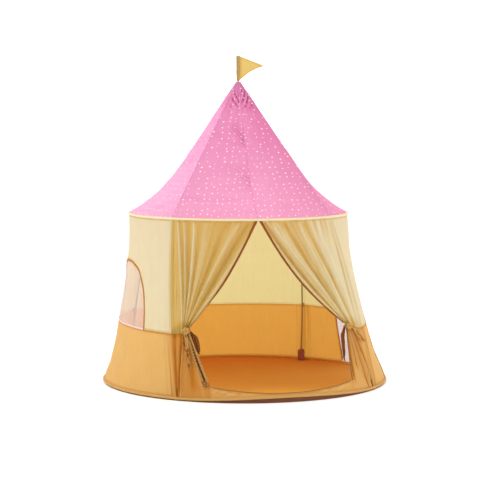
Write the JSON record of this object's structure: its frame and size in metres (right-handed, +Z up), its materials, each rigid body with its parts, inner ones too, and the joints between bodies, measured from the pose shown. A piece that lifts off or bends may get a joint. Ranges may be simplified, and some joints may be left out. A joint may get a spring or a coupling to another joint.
{
  "type": "kids play tent",
  "caption": "Round fabric play tent for children: a cone roof over hollow-curved walls, tied-back door curtains, netted windows, a sewn-in floor and a pennant on top.",
  "frame": {"origin": "on the ground under the middle of the floor, which is the bottom centre of the bounding box", "axes": "+Z up to the pennant, the door faces -Y, and +X is on the right of someone who faces the door"},
  "size_m": [1.21, 1.2098, 1.376],
  "materials": {
    "yellow_cotton": "thin matt cotton that lets light through",
    "orange_cotton": "thin matt cotton that lets light through",
    "floor_cotton": "matt cotton",
    "pink_cotton": "thin matt cotton with small pale dots",
    "brown_binding": "woven binding tape",
    "orange_binding": "woven binding tape",
    "pale_netting": "fine open netting",
    "boot_cloth": "thick matt cloth",
    "fibreglass": "pultruded fibreglass rod, satin",
    "ferrule_metal": "plain metal tube",
    "spring_wire": "flat spring steel hoop, hidden in its piping",
    "moulded_plastic": "injection moulded"
  },
  "bodies": {
    "tent": {"base_hoop": "spring_wire", "base_piping": "orange_cotton", "eaves_hoop": "spring_wire", "eaves_piping": "yellow_cotton", "floor": "floor_cotton", "wall_left_upper": "yellow_cotton", "wall_left_lower": "orange_cotton", "wall_back_upper": "yellow_cotton", "wall_back_lower": "orange_cotton", "wall_right_upper": "yellow_cotton", "wall_right_lower_front": "orange_cotton", "wall_right_lower_back": "orange_cotton", "window_mesh_left": "pale_netting", "window_mesh_right": "pale_netting", "window_binding_left": "orange_binding", "window_binding_right": "orange_binding", "roof_gore_1": "pink_cotton", "roof_gore_2": "pink_cotton", "roof_gore_3": "pink_cotton", "roof_gore_4": "pink_cotton", "roof_gore_5": "pink_cotton", "roof_gore_6": "pink_cotton", "roof_gore_7": "pink_cotton", "roof_gore_8": "pink_cotton", "pole_lower_1": "fibreglass", "pole_lower_2": "fibreglass", "pole_lower_3": "fibreglass", "pole_lower_4": "fibreglass", "pole_upper_1": "fibreglass", "pole_upper_2": "fibreglass", "pole_upper_3": "fibreglass", "pole_upper_4": "fibreglass", "pole_ferrule_1": "ferrule_metal", "pole_ferrule_2": "ferrule_metal", "pole_ferrule_3": "ferrule_metal", "pole_ferrule_4": "ferrule_metal", "foot_pocket_1": "boot_cloth", "foot_pocket_2": "boot_cloth", "foot_pocket_3": "boot_cloth", "foot_pocket_4": "boot_cloth", "pole_loop_1": "orange_cotton", "pole_loop_2": "orange_cotton", "pole_loop_3": "orange_cotton", "pole_loop_4": "orange_cotton", "crown_hub": "moulded_plastic", "door_sill": "orange_cotton", "sill_binding": "brown_binding", "curtain_left_upper": "yellow_cotton", "curtain_left_lower": "orange_cotton", "curtain_right_upper": "yellow_cotton", "curtain_right_lower": "orange_cotton", "tie_left": "orange_binding", "tie_right": "orange_binding"},
    "curtain_left": {"curtain_left_edge": "brown_binding"},
    "corner_left": {"curtain_left_corner": "brown_binding"},
    "curtain_right": {"curtain_right_edge": "brown_binding"},
    "corner_right": {"curtain_right_corner": "brown_binding"},
    "mast": {"mast": "fibreglass"},
    "flag": {"flag_sleeve": "yellow_cotton", "flag_pennant": "yellow_cotton"}
  },
  "joints": [
    {"name": "curtain_left_swing", "type": "hinge", "parent": "tent", "child": "curtain_left", "pos_m": [-0.09027, -0.44926, 0.7067], "axis": [-0.2888, -0.9505, 0.1143], "range_deg": [0, 32], "deforming": ["curtain_left_upper", "curtain_left_lower"]},
    {"name": "corner_left_hang", "type": "hinge", "parent": "curtain_left", "child": "corner_left", "pos_m": [-0.34939, -0.42017, 0.294], "axis": [-0.2888, -0.9505, 0.1143], "range_deg": [-32, 0]},
    {"name": "curtain_right_swing", "type": "hinge", "parent": "tent", "child": "curtain_right", "pos_m": [-0.0879, -0.44959, 0.7067], "axis": [-0.1725, 0.9696, -0.1735], "range_deg": [0, 34], "deforming": ["curtain_right_upper", "curtain_right_lower"]},
    {"name": "corner_right_hang", "type": "hinge", "parent": "curtain_right", "child": "corner_right", "pos_m": [0.26682, -0.46177, 0.286], "axis": [-0.1725, 0.9696, -0.1735], "range_deg": [-34, 0]},
    {"name": "mast_turn", "type": "hinge", "parent": "tent", "child": "mast", "pos_m": [-0.0267, 0.0086, 1.233], "axis": [0, 0, 1], "continuous": true},
    {"name": "flag_lift", "type": "slide", "parent": "mast", "child": "flag", "axis": [0, 0, 1], "range_m": [0, 0.11]}
  ],
  "couplings": [
    {"joint": "corner_left_hang", "follows": "curtain_left_swing", "ratio": -1},
    {"joint": "corner_right_hang", "follows": "curtain_right_swing", "ratio": -1}
  ]
}
